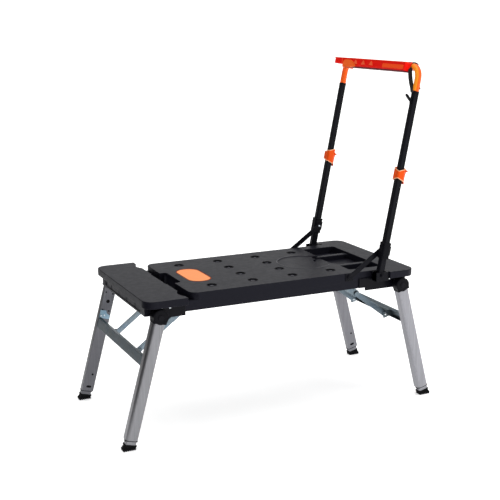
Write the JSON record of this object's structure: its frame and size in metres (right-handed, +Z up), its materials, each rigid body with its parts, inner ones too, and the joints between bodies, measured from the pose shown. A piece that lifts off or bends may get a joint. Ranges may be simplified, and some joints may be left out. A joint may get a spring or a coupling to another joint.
{
  "type": "folding work platform bench",
  "caption": "Folding work platform with splayed folding legs, a moulded deck with peg holes and tool pockets, and a telescoping fold-down handle.",
  "frame": {"origin": "on the floor, under the middle of the deck", "axes": "+X along the deck towards the handle, +Y across it to the rear, +Z up"},
  "size_m": [1.1692, 0.521, 1.1876],
  "materials": {
    "deck_plastic": "moulded, fine grain",
    "insert_orange": "soft-touch",
    "black_steel": "black powder coat",
    "zinc_steel": "zinc plated",
    "leg_aluminium": "satin, drawn",
    "black_plastic": "moulded",
    "foot_rubber": "ribbed",
    "orange_plastic": "moulded",
    "orange_paint": "powder coat",
    "bin_red": "moulded",
    "webbing": "woven"
  },
  "bodies": {
    "deck": {"deck": "deck_plastic", "deck_insert": "insert_orange", "left_front_side_plate": "black_steel", "left_rear_side_plate": "black_steel", "right_front_side_plate": "black_steel", "right_rear_side_plate": "black_steel", "leg_pivot_pins": "black_steel", "front_handle_bracket": "black_steel", "rear_handle_bracket": "black_steel", "handle_pivot_pins": "black_steel", "stay_base_brackets": "black_steel", "stay_base_pins": "black_steel", "brace_anchors": "zinc_steel", "brace_anchor_pins": "zinc_steel"},
    "left_legs": {"left_front_leg": "leg_aluminium", "left_front_leg_cap": "black_plastic", "left_front_foot": "foot_rubber", "left_rear_leg": "leg_aluminium", "left_rear_leg_cap": "black_plastic", "left_rear_foot": "foot_rubber", "left_cross_channel": "zinc_steel", "left_gussets": "zinc_steel", "left_frame_rivets": "zinc_steel"},
    "left_upper_links": {"left_front_upper_link": "zinc_steel", "left_rear_upper_link": "zinc_steel", "left_knee_rivets": "zinc_steel"},
    "left_lower_links": {"left_front_lower_link": "zinc_steel", "left_rear_lower_link": "zinc_steel"},
    "right_legs": {"right_front_leg": "leg_aluminium", "right_front_leg_cap": "black_plastic", "right_front_foot": "foot_rubber", "right_rear_leg": "leg_aluminium", "right_rear_leg_cap": "black_plastic", "right_rear_foot": "foot_rubber", "right_cross_channel": "zinc_steel", "right_gussets": "zinc_steel", "right_frame_rivets": "zinc_steel"},
    "right_upper_links": {"right_front_upper_link": "zinc_steel", "right_rear_upper_link": "zinc_steel", "right_knee_rivets": "zinc_steel"},
    "right_lower_links": {"right_front_lower_link": "zinc_steel", "right_rear_lower_link": "zinc_steel"},
    "handle_base": {"front_lower_tube": "black_steel", "rear_lower_tube": "black_steel", "front_clamp": "orange_plastic", "rear_clamp": "orange_plastic", "clamp_pins": "black_steel"},
    "handle_top": {"front_upper_tube": "black_steel", "rear_upper_tube": "black_steel", "grip_tube": "orange_paint", "handle_bin": "bin_red", "wrist_strap": "webbing", "bag_hook": "black_plastic"},
    "front_lever": {"front_clamp_lever": "orange_plastic"},
    "rear_lever": {"rear_clamp_lever": "orange_plastic"},
    "collars": {"front_collar": "black_plastic", "rear_collar": "black_plastic"},
    "stays": {"front_stay": "black_steel", "rear_stay": "black_steel"}
  },
  "joints": [
    {"name": "left_legs_fold", "type": "hinge", "parent": "deck", "child": "left_legs", "pos_m": [-0.449, 0, 0.424], "axis": [0, -1, 0], "range_deg": [0, 105]},
    {"name": "left_upper_links_swing", "type": "hinge", "parent": "deck", "child": "left_upper_links", "pos_m": [-0.262, 0, 0.436], "axis": [0, -1, 0], "range_deg": [0, 143.11]},
    {"name": "left_lower_links_swing", "type": "hinge", "parent": "left_legs", "child": "left_lower_links", "pos_m": [-0.47649, 0, 0.27504], "axis": [0, 1, 0], "range_deg": [0, 141.89]},
    {"name": "right_legs_fold", "type": "hinge", "parent": "deck", "child": "right_legs", "pos_m": [0.449, 0, 0.424], "axis": [0, 1, 0], "range_deg": [0, 105]},
    {"name": "right_upper_links_swing", "type": "hinge", "parent": "deck", "child": "right_upper_links", "pos_m": [0.262, 0, 0.436], "axis": [0, 1, 0], "range_deg": [0, 143.11]},
    {"name": "right_lower_links_swing", "type": "hinge", "parent": "right_legs", "child": "right_lower_links", "pos_m": [0.47649, 0, 0.27504], "axis": [0, -1, 0], "range_deg": [0, 141.89]},
    {"name": "handle_fold", "type": "hinge", "parent": "deck", "child": "handle_base", "pos_m": [0.3645, 0, 0.467], "axis": [0, -1, 0], "range_deg": [0, 96.5]},
    {"name": "handle_extend", "type": "slide", "parent": "handle_base", "child": "handle_top", "axis": [0.1908, 0, 0.9816], "range_m": [-0.009, 0.2]},
    {"name": "front_lever_open", "type": "hinge", "parent": "handle_base", "child": "front_lever", "pos_m": [0.45397, -0.237, 0.82246], "axis": [0, -1, 0], "range_deg": [0, 105]},
    {"name": "rear_lever_open", "type": "hinge", "parent": "handle_base", "child": "rear_lever", "pos_m": [0.45397, 0.237, 0.82246], "axis": [0, -1, 0], "range_deg": [0, 105]},
    {"name": "collars_slide", "type": "slide", "parent": "handle_base", "child": "collars", "axis": [0.1908, 0, 0.9816], "range_m": [0, 0.17172]},
    {"name": "stays_swing", "type": "hinge", "parent": "deck", "child": "stays", "pos_m": [0.257, 0, 0.465], "axis": [0, -1, 0], "range_deg": [0, 136.65]}
  ],
  "couplings": [
    {"joint": "left_upper_links_swing", "follows": "left_legs_fold", "ratio": 1.363},
    {"joint": "left_lower_links_swing", "follows": "left_legs_fold", "ratio": 1.3513},
    {"joint": "right_upper_links_swing", "follows": "right_legs_fold", "ratio": 1.363},
    {"joint": "right_lower_links_swing", "follows": "right_legs_fold", "ratio": 1.3513},
    {"joint": "collars_slide", "follows": "handle_fold", "m_per_rad": 0.10196},
    {"joint": "stays_swing", "follows": "handle_fold", "ratio": 1.4161}
  ]
}
